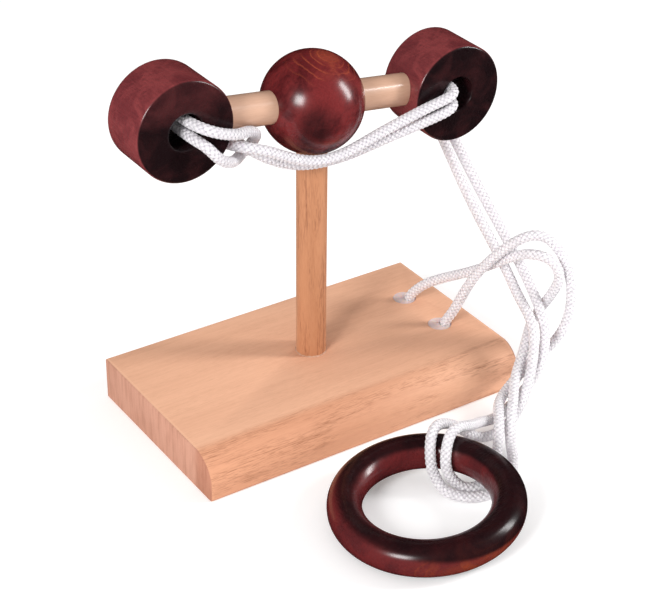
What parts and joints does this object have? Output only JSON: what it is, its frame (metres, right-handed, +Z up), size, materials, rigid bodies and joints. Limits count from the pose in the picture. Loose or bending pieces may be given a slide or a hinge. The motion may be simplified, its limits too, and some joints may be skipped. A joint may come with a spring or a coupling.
{
  "type": "rope puzzle",
  "caption": "Wooden rope puzzle: post with a ball and crossbar between two drilled eyelets, on a block base, with a looped white rope and a loose ring.",
  "frame": {"origin": "middle of the base board's underside, on the table", "axes": "+X along the board to the end with the rope holes, +Y away from the side where the ring lies, +Z up along the post"},
  "size_m": [0.143, 0.1439, 0.1283],
  "materials": {
    "beech": "plain planed beech, satin",
    "dowel_wood": "lacquered hardwood dowel, satin",
    "mahogany_stain": "turned wood, mahogany stain under gloss lacquer",
    "dark_stain": "turned wood, dark red-brown stain under gloss lacquer",
    "white_rope": "braided white cotton cord"
  },
  "bodies": {
    "stand": {"base_board": "beech", "post": "dowel_wood", "ball": "mahogany_stain", "crossbar": "dowel_wood", "left_eyelet": "mahogany_stain", "right_eyelet": "mahogany_stain", "rope": "white_rope", "front_knot": "white_rope", "rear_knot": "white_rope"},
    "ring": {"ring": "dark_stain"}
  },
  "joints": [
    {"name": "ring_turn", "type": "hinge", "parent": "stand", "child": "ring", "pos_m": [-0.0098, -0.0785, 0.00769], "axis": [-0.0837, 0, 0.9965], "continuous": true}
  ]
}
